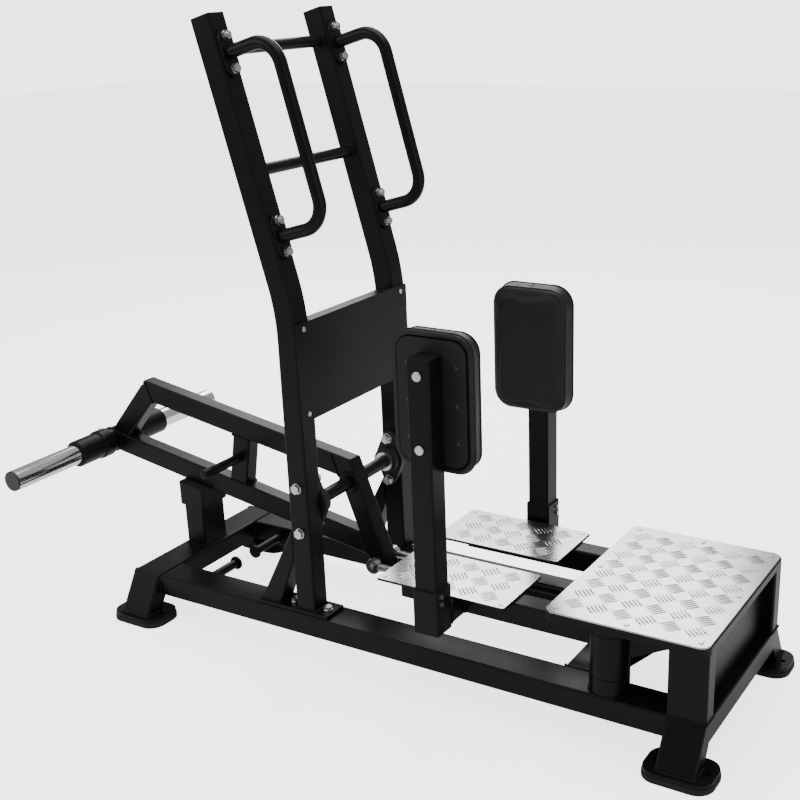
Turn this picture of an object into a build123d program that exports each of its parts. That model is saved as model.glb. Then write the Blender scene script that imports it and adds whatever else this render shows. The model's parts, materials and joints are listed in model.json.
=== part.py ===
from build123d import *
import math
import os

os.makedirs("parts", exist_ok=True)

# Plate-loaded standing hip abductor. Millimetres, +Z up, floor at Z = 0.
# +X runs from the weight lever towards the step platform, +Y is the user's right.
# Heights and lengths below are measured from the middle of the base; every part is
# moved by origin_shift at the end, so the origin is under the middle of the machine.

# ---- base ----
rail_w, rail_h, tube_wall, tube_r = 80, 50, 3, 5
rail_y = 180                      # middle of each side rail
rail_bottom = 60
rail_top = rail_bottom + rail_h
beam_x = 681                      # middle of each cross beam
beam_half_y = rail_y + rail_w / 2
middle_x = 433                    # cross member under the platform edge

foot_plate_t, rubber_t = 8, 12
foot_top = foot_plate_t + rubber_t
foot_size = (140, 98)
foot_y = 236                      # middle of each foot plate
foot_r = 34
leg_flare = 55                    # how far a leg leans out on its way down

# ---- step platform ----
platform_x = (383, 722)
platform_half_y = 230
platform_top = 274
tread_t, tray_h, tray_t = 4, 14, 4
tray_top = platform_top - tread_t
tray_bottom = tray_top - tray_h
platform_r = 22
portal_t = 40                     # thickness of the portal tubes across the machine

# ---- uprights, rungs and handles ----
upright_x, upright_y, upright_w = -212, 184, 50
bend_z, bend_r, lean = 796, 450, 15.3
upright_len = 602                 # from the bend point to the top end
base_plate_t = 8
rung_d, handle_d = 25, 27
rung_at = (290, 534)              # along the leaning tube, from the bend point
handle_low, handle_span, handle_out = 152, 370, 121
handle_r = 52
panel_z = (560, 774)
panel_t = 3

# ---- weight lever (own axes: t along the tubes, n square to them, from the pivot) ----
pivot_x, pivot_z = upright_x, 357
lever_tilt, lever_w, lever_h = 9.65, 40, 50
top_n, low_n, brace_t = 54.7, -114.5, -316
leg_dir = 59.76                   # lean of the front leg from the tubes
diag_dir = 58.4                   # lean of the rear leg from the tubes
shaft_d = 30
horn_x, horn_z, horn_d = -953, 342, 50
horn_steps = (40, 76, 147, 347)   # neck, wide collar, collar, sleeve: outer ends in Y
peg_reach = 151

# ---- arms, posts and pads ----
hub_x, hub_y, hub_d, pin_d = 508, 180, 80, 30
hub_z = (148, 240)
arm_y, arm_w, arm_z = 143, 50, (187, 237)
arm_rear = 19
foot_tread = (-18, 289, 35, 208)  # X from, X to, inner Y, outer Y
post_x, post_y, post_w, post_top = 147, 249, 50, 760
socket_w, socket_z = 58, (182, 278)
shelf_t = 3.5                     # steel shelf under each foot tread
pad_w, pad_h, pad_z, pad_t, board_t = 182, 283, 661, 39.5, 8
board_inset = 14                  # the cover's rim stands round the board

# ---- linkage ----
eye_x, eye_z = -140, 172          # lever end of each connecting rod
crank_len, crank_start = 145, 15
crank_z = (148, 159)
lever_max = 20
ball_y = 37.5                     # middle of the rods' sideways travel
rod_z = eye_z - 1.5               # the rods' height, half the lever end's wander lower
rod_tilt = 2.405                  # lean of the crank joints, which lets the lever end drop
rod_d, shank_d = 22, 16

beam_x0 = beam_x - rail_w / 2
rod_y = hub_y - crank_len * math.cos(math.radians(crank_start))
crank_x = hub_x + crank_len * math.sin(math.radians(crank_start))
machine_back = horn_x - 36
machine_front = beam_x + foot_size[0] / 2 + 2
origin_shift = -(machine_back + machine_front) / 2


def box(x, y, z):
    """A block from its three ranges."""
    size = [b - a for a, b in (x, y, z)]
    centre = [(a + b) / 2 for a, b in (x, y, z)]
    return Pos(*centre) * Box(*size)


def along(start, end, width, depth, wall=tube_wall, radius=tube_r, closed=True):
    """A rectangular tube between two points; width lies across the machine."""
    a, b = Vector(*start), Vector(*end)
    run = b - a
    across = Vector(0, 1, 0) if abs(run.normalized().Y) < 0.5 else Vector(1, 0, 0)
    plane = Plane(origin=a, x_dir=across, z_dir=run)
    outer = extrude(plane * RectangleRounded(width, depth, radius), run.length)
    cap = wall if closed else -1
    inside = Plane(origin=a + run.normalized() * cap, x_dir=across, z_dir=run)
    bore = RectangleRounded(width - 2 * wall, depth - 2 * wall, max(radius - wall, 1))
    return outer, extrude(inside * bore, run.length - 2 * cap)


def tube(*args, **named):
    outer, bore = along(*args, **named)
    return outer - bore


def rod(start, end, diameter):
    a, b = Vector(*start), Vector(*end)
    plane = Plane(origin=a, z_dir=b - a)
    return extrude(plane * Circle(diameter / 2), (b - a).length)


def ring(start, end, outer, inner):
    a, b = Vector(*start), Vector(*end)
    plane = Plane(origin=a, z_dir=b - a)
    return extrude(plane * (Circle(outer / 2) - Circle(inner / 2)), (b - a).length)


def hexagon(start, end, flats):
    a, b = Vector(*start), Vector(*end)
    plane = Plane(origin=a, z_dir=b - a)
    return extrude(plane * RegularPolygon(flats / math.sqrt(3), 6), (b - a).length)


def plate(points, plane, thickness):
    """A flat plate: the outline is drawn in the plane and made thick both ways."""
    outline = make_face(plane * Polyline(*points, close=True))
    return extrude(outline, thickness / 2, both=True)


def round_edges(shape, over):
    """The circular edges wider than a radius."""
    circles = shape.edges().filter_by(GeomType.CIRCLE)
    return ShapeList([e for e in circles if e.radius > over])


def mirrored(shape):
    return mirror(shape, about=Plane.XZ)


def both(shape):
    return Compound([*shape.solids(), *mirrored(shape).solids()])


def save(name, shape):
    solids = shape.solids()
    body = solids[0] if len(solids) == 1 else Compound(solids)
    export_step(Pos(origin_shift, 0, 0) * body, f"parts/{name}.step")


def save_pair(name, shape):
    """The left part is on the -Y side, the right one mirrors it."""
    save(name + "_left", shape)
    save(name + "_right", mirrored(shape))


def save_base():
    rail = tube((-beam_x0, -rail_y, rail_bottom + rail_h / 2),
                (beam_x0, -rail_y, rail_bottom + rail_h / 2), rail_w, rail_h)
    save_pair("side_rail", rail)
    mid_y = rail_y - rail_w / 2
    save("middle_cross_member",
         tube((middle_x, -mid_y, rail_bottom + rail_h / 2),
              (middle_x, mid_y, rail_bottom + rail_h / 2), rail_w, rail_h))

    # Each cross beam ends in two hollow legs that lean out on to the foot plates.
    low_y = beam_half_y + leg_flare
    leg_depth = 50
    slope = leg_flare / (rail_top - foot_top)
    under_y = beam_half_y + slope * (rail_top - rail_bottom) - leg_depth
    outline = [(-beam_half_y + 12, rail_top), (-beam_half_y, rail_top), (-low_y, foot_top),
               (-low_y + leg_depth, foot_top), (-under_y, rail_bottom)]
    for name, x in (("rear_cross_beam", -beam_x), ("front_cross_beam", beam_x)):
        start, end = (x, -beam_half_y, rail_bottom + rail_h / 2), (x, beam_half_y,
                                                                  rail_bottom + rail_h / 2)
        outer, bore = along(start, end, rail_w, rail_h)
        face = make_face(Plane.YZ.offset(x) * Polyline(*outline, close=True))
        leg = extrude(face, rail_w / 2, both=True)
        leg = fillet([e for e in leg.edges().filter_by(Axis((0, 0, 0),
                     (0, -leg_flare, -(rail_top - foot_top)))) if e.length > 60], tube_r)
        hollow = extrude(offset(face, -5), rail_w / 2 - 5, both=True)
        save(name, outer + leg + mirrored(leg) - bore - hollow - mirrored(hollow))

    plates, rubbers = [], []
    for x in (-beam_x, beam_x):
        for y in (-foot_y, foot_y):
            holes = [Pos(x + dx, y, 0) * Circle(5.5) for dx in (-52, 52)]
            outline = Pos(x, y, 0) * RectangleRounded(*foot_size, foot_r)
            steel = extrude(Pos(0, 0, rubber_t) * (outline - holes[0] - holes[1]), foot_plate_t)
            plates.append(steel)
            under = Pos(x, y, 0) * RectangleRounded(foot_size[0] + 4, foot_size[1] + 4, foot_r + 2)
            pad = extrude(under - holes[0] - holes[1], rubber_t)
            rubbers.append(chamfer(pad.edges().group_by(Axis.Z)[-1].filter_by(
                lambda e: e.center().Z > 1 and abs(e.length - math.pi * 11) > 0.1), 1.5))
    save("foot_plates", Compound(plates))
    save("rubber_feet", Compound(rubbers))


def save_platform():
    x0, x1 = platform_x
    outline = Pos((x0 + x1) / 2, 0, 0) * RectangleRounded(x1 - x0, 2 * platform_half_y, platform_r)
    inner = Pos((x0 + x1) / 2, 0, 0) * RectangleRounded(
        x1 - x0 - 2 * tray_t, 2 * (platform_half_y - tray_t), platform_r - tray_t)
    tray = extrude(Pos(0, 0, tray_bottom) * outline, tray_h)
    tray -= extrude(Pos(0, 0, tray_bottom) * inner, tray_h - tray_t)
    sheet = Pos((x0 + x1) / 2, 0, tray_top) * RectangleRounded(
        x1 - x0 - 5, 2 * platform_half_y - 5, platform_r - 2)
    tread = extrude(sheet, tread_t)
    tread = chamfer(tread.edges().group_by(Axis.Z)[-1], 1)
    places = [(x0 + 22, platform_half_y - 22), (x1 - 22, platform_half_y - 22),
              ((x0 + x1) / 2, platform_half_y - 22), (x0 + 22, 0), (x1 - 22, 0)]
    places += [(x, -y) for x, y in places[:3]]
    screws = []
    for x, y in places:
        hole = rod((x, y, tray_top - tray_t), (x, y, platform_top), 6)
        tray, tread = tray - hole, tread - hole
        head = rod((x, y, platform_top), (x, y, platform_top + 1.6), 11)
        head = fillet(head.edges().group_by(Axis.Z)[-1], 1.2)
        screws.append(head + rod((x, y, tray_top - tray_t - 4), (x, y, platform_top), 5.9))
    save("platform_tray", tray)
    save("platform_tread", tread)
    save("platform_screws", Compound(screws))

    # Portal: two wide tubes standing on the rails carry the platform's far end.
    leg_y = beam_half_y - portal_t / 2
    leg = tube((beam_x, -leg_y, rail_top), (beam_x, -leg_y, tray_bottom), portal_t, rail_w)
    head_h = 30
    head = tube((beam_x - rail_w / 2 + 20, -leg_y + portal_t / 2, tray_bottom - head_h / 2),
                (beam_x - rail_w / 2 + 20, leg_y - portal_t / 2, tray_bottom - head_h / 2),
                portal_t, head_h, radius=4)
    save("portal_frame", Compound([leg, mirrored(leg), head]))
    inner_y = beam_half_y - portal_t
    back = box((beam_x + 10, beam_x + 14), (-inner_y, inner_y), (rail_top, tray_bottom))
    for side in (-1, 1):
        ys = sorted((side * (inner_y - 46), side * (inner_y - 2)))
        back -= box((beam_x, beam_x + 30), ys, (tray_bottom - 14, tray_bottom - 3))
    save("portal_back_plate", back)


def save_pivot_posts():
    """Fixed halves of each arm's upright hinge, and its pin."""
    x, y = hub_x, -hub_y
    low_top, cap_z = hub_z[0] - 1.5, hub_z[1] + 1.5
    post = rod((x, y, rail_top), (x, y, low_top), hub_d)
    post -= rod((x, y, low_top - 22), (x, y, low_top), pin_d)
    cap = rod((x, y, cap_z), (x, y, tray_bottom), hub_d)
    cap += box((x, beam_x0), (y - 20, y + 20), (cap_z, tray_bottom))
    cap -= rod((x, y, cap_z), (x, y, tray_bottom), pin_d)
    web_x, web_z = x + hub_d / 2 + 3, 190
    cap += plate([(web_x, cap_z + 1), (web_x, web_z), (beam_x0, cap_z - 6), (beam_x0, cap_z + 1)],
                 Plane.XZ.offset(-y), 8)
    save("pivot_posts", both(post))
    save("pivot_brackets", both(cap))
    save("pivot_pins", both(rod((x, y, low_top - 22), (x, y, tray_bottom), pin_d)))


lean_dir = Vector(-math.sin(math.radians(lean)), 0, math.cos(math.radians(lean)))
face_dir = Vector(math.cos(math.radians(lean)), 0, math.sin(math.radians(lean)))
bend_point = Vector(upright_x, -upright_y, bend_z)


def on_upright(distance, out=0):
    """A point on the leaning part: distance from the bend, out from the tube's middle."""
    return bend_point + lean_dir * distance + face_dir * out


def save_uprights():
    foot = Vector(upright_x, -upright_y, rail_top + base_plate_t)
    cut = bend_r * math.tan(math.radians(lean / 2))
    start, low, high = foot, bend_point - Vector(0, 0, cut), on_upright(cut)
    path = Line(start, low) + TangentArc(low, high, tangent=(0, 0, 1)) + Line(high,
                                                                          on_upright(upright_len))
    section = Plane(origin=start, x_dir=(1, 0, 0), z_dir=(0, 0, 1))
    solid = sweep(section * RectangleRounded(upright_w, upright_w, tube_r), path=path)
    hollow_path = Line(start + Vector(0, 0, 3), low) + TangentArc(
        low, high, tangent=(0, 0, 1)) + Line(high, on_upright(upright_len - 3))
    inner_w = upright_w - 2 * tube_wall
    hollow = sweep(Plane(origin=start + Vector(0, 0, 3), x_dir=(1, 0, 0), z_dir=(0, 0, 1))
                   * RectangleRounded(inner_w, inner_w, 2), path=hollow_path)
    upright = solid - hollow
    for dz in (-52.5, 52.5):      # through holes for the bearing bolts
        upright -= rod((upright_x, -upright_y - 30, pivot_z + dz),
                       (upright_x, -upright_y + 30, pivot_z + dz), 12)
    save_pair("upright", upright)

    # Rear brace: a slanted tube with its ends cut to the base plate and the upright.
    back = upright_x - upright_w / 2
    z0 = rail_top + base_plate_t
    brace_points = [(back - 100, z0), (back - 46, z0), (back, z0 + 118), (back, z0 + 190)]
    brace = plate(brace_points, Plane.XZ.offset(upright_y), upright_w)
    brace = fillet([e for e in brace.edges().filter_by(
        lambda e: abs(e.tangent_at(0.5).Y) < 0.1 and e.length > 110)], tube_r)
    save_pair("brace", brace)

    x0, x1 = back - 108, upright_x + upright_w / 2 + 36
    base = box((x0, x1), (-upright_y - 31, -upright_y + 34), (rail_top, z0))
    places = [(x1 - 18, -upright_y), (back - 22, -upright_y)]
    bolts = []
    for x, y in places:
        base -= rod((x, y, rail_top), (x, y, z0), 10.5)
        bolt = hexagon((x, y, z0 + 2), (x, y, z0 + 9), 17) + rod((x, y, rail_top), (x, y, z0 + 2), 10)
        washer = ring((x, y, z0), (x, y, z0 + 2), 21, 10)
        bolts.append(bolt + washer)
    save("upright_base_plates", both(base))
    save("base_bolts", both(Compound(bolts)))

    inner_y = upright_y - upright_w / 2
    rungs = []
    for d in rung_at:
        p = on_upright(d)
        rungs.append(rod((p.X, -inner_y, p.Z), (p.X, inner_y, p.Z), rung_d))
    save("cross_rungs", Compound(rungs))


def save_handles():
    face = upright_w / 2
    low, high = handle_low, handle_low + handle_span
    flange_t = 6
    corners = [on_upright(low, face + flange_t), on_upright(low, face + handle_out),
               on_upright(high, face + handle_out), on_upright(high, face + flange_t)]
    path = FilletPolyline(*corners, radius=handle_r)
    section = Plane(origin=corners[0], z_dir=face_dir)
    bar = sweep(section * (Circle(handle_d / 2) - Circle(handle_d / 2 - 2.5)), path=path)
    bolts = []
    for d in (low, high):
        at = Plane(origin=on_upright(d, face), x_dir=lean_dir, z_dir=face_dir)
        shape = SlotOverall(96, 40)
        holes = [Pos(s * 32.5, 0, 0) * Circle(5.4) for s in (-1, 1)]
        bar += extrude(at * (shape - holes[0] - holes[1]), flange_t)
        for s in (-1, 1):
            p = on_upright(d + s * 32.5, face)
            bolts.append(rod(p, p + face_dir * 20, 10)
                         + ring(p + face_dir * flange_t, p + face_dir * (flange_t + 2), 20, 10)
                         + hexagon(p + face_dir * (flange_t + 2), p + face_dir * (flange_t + 10), 17))
    save_pair("handle", bar)
    save("handle_bolts", both(Compound(bolts)))


def save_front_panel():
    x = upright_x + upright_w / 2
    half = upright_y + upright_w / 2
    z0, z1 = panel_z
    face = box((x, x + panel_t), (-half, half), (z0, z1))
    face = fillet(face.edges().filter_by(Axis.X), 6)
    inner = half - upright_w - 2
    lip_top = box((x - 24, x + 1), (-inner, inner), (z1 - panel_t, z1))
    lip_low = box((x - 16, x + 1), (-inner, inner), (z0, z0 + panel_t))
    panel = face + lip_top + lip_low
    screws = []
    for y in (-upright_y, upright_y):
        for z in (z0 + 16, z1 - 14):
            panel -= rod((x - 1, y, z), (x + panel_t, y, z), 6)
            head = rod((x + panel_t, y, z), (x + panel_t + 2.5, y, z), 11)
            head = fillet(head.edges().group_by(Axis.X)[-1], 1.6)
            screws.append(head + rod((x, y, z), (x + panel_t, y, z), 5.8))
    save("front_panel", panel)
    save("panel_screws", Compound(screws))


def save_stop_and_pegs():
    x = -beam_x + 2
    post_top_z = 225
    post = tube((x, 0, rail_top), (x, 0, post_top_z), rail_w, 60)
    save("stop_post", post)
    # The rubber block's top lies parallel to the lever's lower tube, just under it.
    tan = math.tan(math.radians(lever_tilt))
    under = pivot_z + (low_n - lever_h) / math.cos(math.radians(lever_tilt)) - 0.5
    half = 38

    def tube_bottom(px):
        return under - (px - pivot_x) * tan

    block = plate([(x - half, post_top_z - 8), (x + half, post_top_z - 8),
                   (x + half, tube_bottom(x + half)), (x - half, tube_bottom(x - half))],
                  Plane.XZ, 92)
    block -= box((x - 30, x + 30), (-rail_w / 2, rail_w / 2), (post_top_z - 9, post_top_z))
    block = fillet([e for e in block.edges().filter_by(Axis.Z) if e.length > 20], 8)
    save("stop_bumper", block)

    peg_x, peg_z, inner_y = -558, 84, rail_y - rail_w / 2
    peg = rod((peg_x, -inner_y, peg_z), (peg_x, -40, peg_z), 22)
    knob = rod((peg_x, -40, peg_z), (peg_x, -33, peg_z), 34)
    peg += fillet(knob.edges(), 2)
    save("band_pegs", both(peg))


def save_bearings():
    """Two-bolt flange bearings on the inner faces of the uprights."""
    face_y = -(upright_y - upright_w / 2)
    plane = Plane(origin=(pivot_x, face_y, pivot_z), x_dir=(0, 0, 1), z_dir=(0, 1, 0))
    bolt_off = 52.5
    rhomb = make_hull([*(Pos(bolt_off, 0) * Circle(16)).edges(), *(Pos(-bolt_off, 0)
                      * Circle(16)).edges(), *Circle(37).edges()])
    housing = extrude(plane * rhomb, 13)
    housing = fillet(housing.edges().group_by(Axis.Y)[-1], 2)
    housing += extrude(plane * Circle(31), 27)
    housing -= extrude(plane * Circle(23), 30)
    bolts = []
    for s in (-1, 1):
        z = pivot_z + s * bolt_off
        housing -= rod((pivot_x, face_y, z), (pivot_x, face_y + 20, z), 12.5)
        out = face_y - upright_w
        bolts.append(rod((pivot_x, out - 2, z), (pivot_x, face_y + 28, z), 11.8)
                     + ring((pivot_x, out - 2, z), (pivot_x, out, z), 24, 11.8)
                     + hexagon((pivot_x, out - 9.5, z), (pivot_x, out - 2, z), 19)
                     + ring((pivot_x, face_y + 13, z), (pivot_x, face_y + 15.5, z), 24, 11.8)
                     + hexagon((pivot_x, face_y + 15.5, z), (pivot_x, face_y + 25.5, z), 19))
    save("bearing_housings", both(housing))
    save("bearing_bolts", both(Compound(bolts)))
    insert = ring((pivot_x, face_y + 1, pivot_z), (pivot_x, face_y + 36, pivot_z), 45.9, shaft_d)
    save("bearing_inserts", both(insert))
    save("pivot_shaft", rod((pivot_x, face_y + 0.5, pivot_z), (pivot_x, -face_y - 0.5, pivot_z),
                            shaft_d))


def lever_point(t, n, y=0):
    """From the lever's own axes to the machine's."""
    c, s = math.cos(math.radians(lever_tilt)), math.sin(math.radians(lever_tilt))
    return Vector(pivot_x + t * c + n * s, y, pivot_z - t * s + n * c)


def save_lever():
    half = lever_h / 2
    c_leg, s_leg = math.cos(math.radians(leg_dir)), math.sin(math.radians(leg_dir))
    c_diag, s_diag = math.cos(math.radians(diag_dir)), math.sin(math.radians(diag_dir))
    low_mid = low_n - half
    # Front leg: its front edge starts at the top tube's front corner.
    leg_top = lever_point(-half * s_leg, top_n - half * c_leg)
    leg_run = 270 * Vector(c_leg, -s_leg)
    leg_end = lever_point(-half * s_leg + leg_run.X, top_n - half * c_leg + leg_run.Y)
    leg_mid_t = -half * s_leg + (top_n - low_mid) / s_leg * c_leg
    diag_low = lever_point(-730 + half * s_diag, -110 - half * c_diag)
    diag_high = lever_point(-730 + half * s_diag + 176 * c_diag, -110 - half * c_diag + 176 * s_diag)
    runs = [(lever_point(-629, top_n - half), lever_point(-4, top_n - half)),
            (lever_point(-733, low_mid), lever_point(leg_mid_t, low_mid)),
            (leg_top, leg_end), (diag_low, diag_high),
            (lever_point(brace_t, top_n - half), lever_point(brace_t, low_mid))]
    outers, bores = [], []
    for a, b in runs:
        outer, bore = along(a, b, lever_w, lever_h)
        outers.append(outer)
        bores.append(bore)
    frame = outers[0]
    for outer in outers[1:]:
        frame += outer
    # Trim the two leg tops flush with the top tube.
    corners = [lever_point(t, n) for t, n in
               ((-760, top_n), (80, top_n), (80, top_n + 90), (-760, top_n + 90))]
    above = plate([(p.X, p.Z) for p in corners], Plane.XZ, 60)
    frame -= above
    for bore in bores:
        frame -= bore
    carrier_d = 60
    neck = horn_steps[0]
    frame += rod((horn_x, -neck, horn_z), (horn_x, neck, horn_z), carrier_d)
    frame += rod(lever_point(0, 0, -lever_w / 2 - 6), lever_point(0, 0, lever_w / 2 + 6), 46)
    frame -= rod((horn_x, -neck, horn_z), (horn_x, neck, horn_z), horn_d - 12)
    frame -= rod(lever_point(0, 0, -40), lever_point(0, 0, 40), shaft_d)
    frame -= rod((eye_x, -lever_w / 2, eye_z), (eye_x, lever_w / 2, eye_z), 12)
    save("lever_frame", frame)
    save("lift_peg", fillet(rod(lever_point(brace_t, -48, -lever_w / 2),
                                lever_point(brace_t, -48, -peg_reach), 22).edges(), 3))


def save_horns():
    neck, wide, collar, tip = horn_steps
    at = (horn_x, horn_z)
    stub_d = 44                    # the horn's thinner root, inside the collars

    def part(y0, y1, outer, inner):
        return ring((at[0], -y0, at[1]), (at[0], -y1, at[1]), outer, inner)

    horn = part(neck, collar + 2, stub_d, horn_d - 14) + part(collar + 2, tip, horn_d, horn_d - 14)
    save("horns", both(horn))
    big = part(neck, wide, 72, stub_d)
    big = fillet(round_edges(big, 30), 4)
    thin = part(wide, collar, 66, stub_d)
    thin = fillet(round_edges(thin, 30).sort_by(Axis.Y)[0], 1.5)
    hole = rod((at[0], -58, at[1] + 20), (at[0], -58, at[1] + 40), 10)
    save("horn_collars", both(big + thin - hole))
    screw = rod((at[0], -58, at[1] + stub_d / 2), (at[0], -58, at[1] + 39), 9.8)
    screw -= hexagon((at[0], -58, at[1] + 34), (at[0], -58, at[1] + 39), 5)
    save("collar_screws", both(screw))
    cap = rod((at[0], -tip, at[1]), (at[0], -tip - 5, at[1]), horn_d - 1)
    cap = fillet(cap.edges().group_by(Axis.Y)[0], 2)
    cap += rod((at[0], -tip + 12, at[1]), (at[0], -tip, at[1]), horn_d - 14)
    save("horn_caps", both(cap))


def save_rods():
    """Connecting rods with a ball joint at each end, and the pins that hold them."""
    ball_d, bore_d, eye_d, eye_w = 22, 26.6, 36, 14
    start = (eye_x, -lever_w / 2, eye_z)
    spacer_end = ball_y - 8
    pin = rod(start, (eye_x, -ball_y - 22, eye_z), 12)
    pin += rod(start, (eye_x, -spacer_end, eye_z), 18)
    ball = Pos(eye_x, -ball_y, eye_z) * Sphere(ball_d / 2)
    ball &= box((eye_x - 20, eye_x + 20), (-ball_y - 8, -ball_y + 8), (eye_z - 20, eye_z + 20))
    pin += ball
    pin += hexagon((eye_x, -ball_y - 18, eye_z), (eye_x, -ball_y - 8, eye_z), 18)
    save("lever_rod_pins", both(pin) + rod((eye_x, -lever_w / 2, eye_z),
                                           (eye_x, lever_w / 2, eye_z), 12))

    y = -rod_y
    eye = ring((eye_x, y - eye_w / 2, rod_z), (eye_x, y + eye_w / 2, rod_z), eye_d, bore_d)
    neck = rod((eye_x + 14.6, y, rod_z), (eye_x + 34, y, rod_z), 18)
    shank = rod((eye_x + 34, y, rod_z), (eye_x + 62, y, rod_z), shank_d)
    nut = hexagon((eye_x + 60, y, rod_z), (eye_x + 72, y, rod_z), 24)
    lever_end = eye + (neck - rod((eye_x, y - 12, rod_z), (eye_x, y + 12, rod_z), bore_d)) + shank + nut

    def leaned(shape):
        return shape.rotate(Axis((crank_x, y, rod_z), (1, 0, 0)), -rod_tilt)

    z0, z1 = rod_z - eye_w / 2, rod_z + eye_w / 2
    eye2 = leaned(ring((crank_x, y, z0), (crank_x, y, z1), eye_d, 23.4))
    neck2 = rod((crank_x - 34, y, rod_z), (crank_x - 14.6, y, rod_z), 18)
    neck2 -= leaned(rod((crank_x, y, z0 - 6), (crank_x, y, z1 + 6), 23.4))
    shank2 = rod((crank_x - 62, y, rod_z), (crank_x - 34, y, rod_z), shank_d)
    nut2 = hexagon((crank_x - 72, y, rod_z), (crank_x - 60, y, rod_z), 24)
    arm_end = eye2 + neck2 + shank2 + nut2
    save_pair("rod_ends", Compound([*lever_end.solids(), *arm_end.solids()]))
    bar = rod((eye_x + 72, y, rod_z), (crank_x - 72, y, rod_z), rod_d)
    save_pair("push_rod", bar)

    low = crank_z[1]
    pin2 = rod((crank_x, y, low - 16), (crank_x, y, low + 3), 12)
    top = leaned(rod((crank_x, y, low + 2), (crank_x, y, rod_z - 8), 16))
    top += leaned(rod((crank_x, y, rod_z - 8), (crank_x, y, rod_z + 8), 22.6))
    top += leaned(hexagon((crank_x, y, rod_z + 8), (crank_x, y, rod_z + 14), 18))
    save_pair("crank_pin", pin2 + (top - rod((crank_x, y, low - 6), (crank_x, y, low), 60)))


def save_arms():
    x, y = hub_x, -hub_y
    z0, z1 = hub_z
    hub = rod((x, y, z0), (x, y, z1), hub_d)
    sleeve = hub - rod((x, y, z0), (x, y, z1), pin_d + 0.1)
    arm = tube((arm_rear, -arm_y, sum(arm_z) / 2), (x, -arm_y, sum(arm_z) / 2),
               arm_w, arm_z[1] - arm_z[0], closed=False)
    arm -= box((x - 12, x + 60), (-arm_y - 60, -arm_y + 60), arm_z)
    plug = box((arm_rear, arm_rear + 3), (-arm_y - 22, -arm_y + 22), (arm_z[0] + 3, arm_z[1] - 3))
    # Crank: a flat bar out of the sleeve's inner side that carries the rod's pin.
    end = Vector(crank_x, -rod_y, 0)
    crank = Plane(origin=((x + end.X) / 2, (y + end.Y) / 2, crank_z[0]),
                  x_dir=(end.X - x, end.Y - y, 0), z_dir=(0, 0, 1))
    bar = extrude(crank * SlotCenterToCenter(crank_len, 40), crank_z[1] - crank_z[0])
    bar -= rod((end.X, end.Y, crank_z[0]), (end.X, end.Y, crank_z[1]), 12)
    # Bracket and socket that carry the pad post outside the rail.
    socket = tube((post_x, -post_y, socket_z[0]), (post_x, -post_y, socket_z[1]),
                  socket_w, socket_w, closed=False)
    floor = box((post_x - 25, post_x + 25), (-post_y - 25, -post_y + 25), (socket_z[0], 188))
    inner_y = -post_y + socket_w / 2
    stub = tube((post_x, inner_y, 212), (post_x, -arm_y - arm_w / 2, 212), socket_w, 50,
                closed=False)
    fx0, fx1, fy0, fy1 = foot_tread
    shelf = Pos((fx0 + fx1) / 2, -(fy0 + fy1) / 2, arm_z[1]) * Box(
        fx1 - fx0, fy1 - fy0, shelf_t, align=(Align.CENTER, Align.CENTER, Align.MIN))
    shelf = fillet(shelf.edges().filter_by(Axis.Z), 8)
    pieces = [sleeve, (arm + plug) - hub, bar - hub, socket + floor, stub, shelf]
    save_pair("arm_frame", Compound([solid for piece in pieces for solid in piece.solids()]))

    rim = 1.5
    tread = Pos((fx0 + fx1) / 2, -(fy0 + fy1) / 2, arm_z[1] + shelf_t) * Box(
        fx1 - fx0 - 2 * rim, fy1 - fy0 - 2 * rim, 1.5, align=(Align.CENTER, Align.CENTER, Align.MIN))
    tread = fillet(tread.edges().filter_by(Axis.Z), 7)
    rivets = []
    tread_top = arm_z[1] + shelf_t + 1.5
    for rx in (fx0 + 14, fx1 - 14):
        for ry in (-fy0 - 14, -fy1 + 14):
            tread -= rod((rx, ry, tread_top - 4), (rx, ry, tread_top), 5)
            head = rod((rx, ry, tread_top), (rx, ry, tread_top + 1.4), 9.5)
            head = fillet(head.edges().group_by(Axis.Z)[-1], 1.1)
            rivets.append(head + rod((rx, ry, tread_top - 1.5), (rx, ry, tread_top), 4.9))
    save_pair("foot_tread", tread)
    save_pair("pad_post", tube((post_x, -post_y, 188.5), (post_x, -post_y, post_top),
                               post_w, post_w, radius=4))

    face_y = -post_y + post_w / 2
    half_w, half_h = pad_w / 2, pad_h / 2
    board = box((post_x - half_w + board_inset, post_x + half_w - board_inset),
                (face_y, face_y + board_t),
                (pad_z - half_h + board_inset, pad_z + half_h - board_inset))
    board = fillet(board.edges().filter_by(Axis.Y), 30)
    save_pair("pad_board", board)
    pad = box((post_x - half_w, post_x + half_w), (face_y + 0.5, face_y + board_t + pad_t),
              (pad_z - half_h, pad_z + half_h))
    save_pair("pad", fillet(pad.edges().filter_by(Axis.Y), 42) - board)
    bolts = rivets
    out = -post_y - post_w / 2
    for z in (580, 728):
        head = rod((post_x, out, z), (post_x, out - 5, z), 20)
        bolts.append(fillet(head.edges().group_by(Axis.Y)[0], 2))
    front = post_x + socket_w / 2
    for z in (250, 266):
        bolts.append(rod((front, -post_y - 12, z), (front + 4, -post_y - 12, z), 9))
    save_pair("arm_fasteners", Compound(bolts))


save_base()
save_platform()
save_pivot_posts()
save_uprights()
save_handles()
save_front_panel()
save_stop_and_pegs()
save_bearings()
save_lever()
save_horns()
save_rods()
save_arms()
print("origin shift", origin_shift, "rod y", rod_y, "crank x", crank_x)
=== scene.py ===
import json
import math

import bmesh
import bpy
from mathutils import Matrix, Vector
from mathutils.bvhtree import BVHTree


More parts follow.
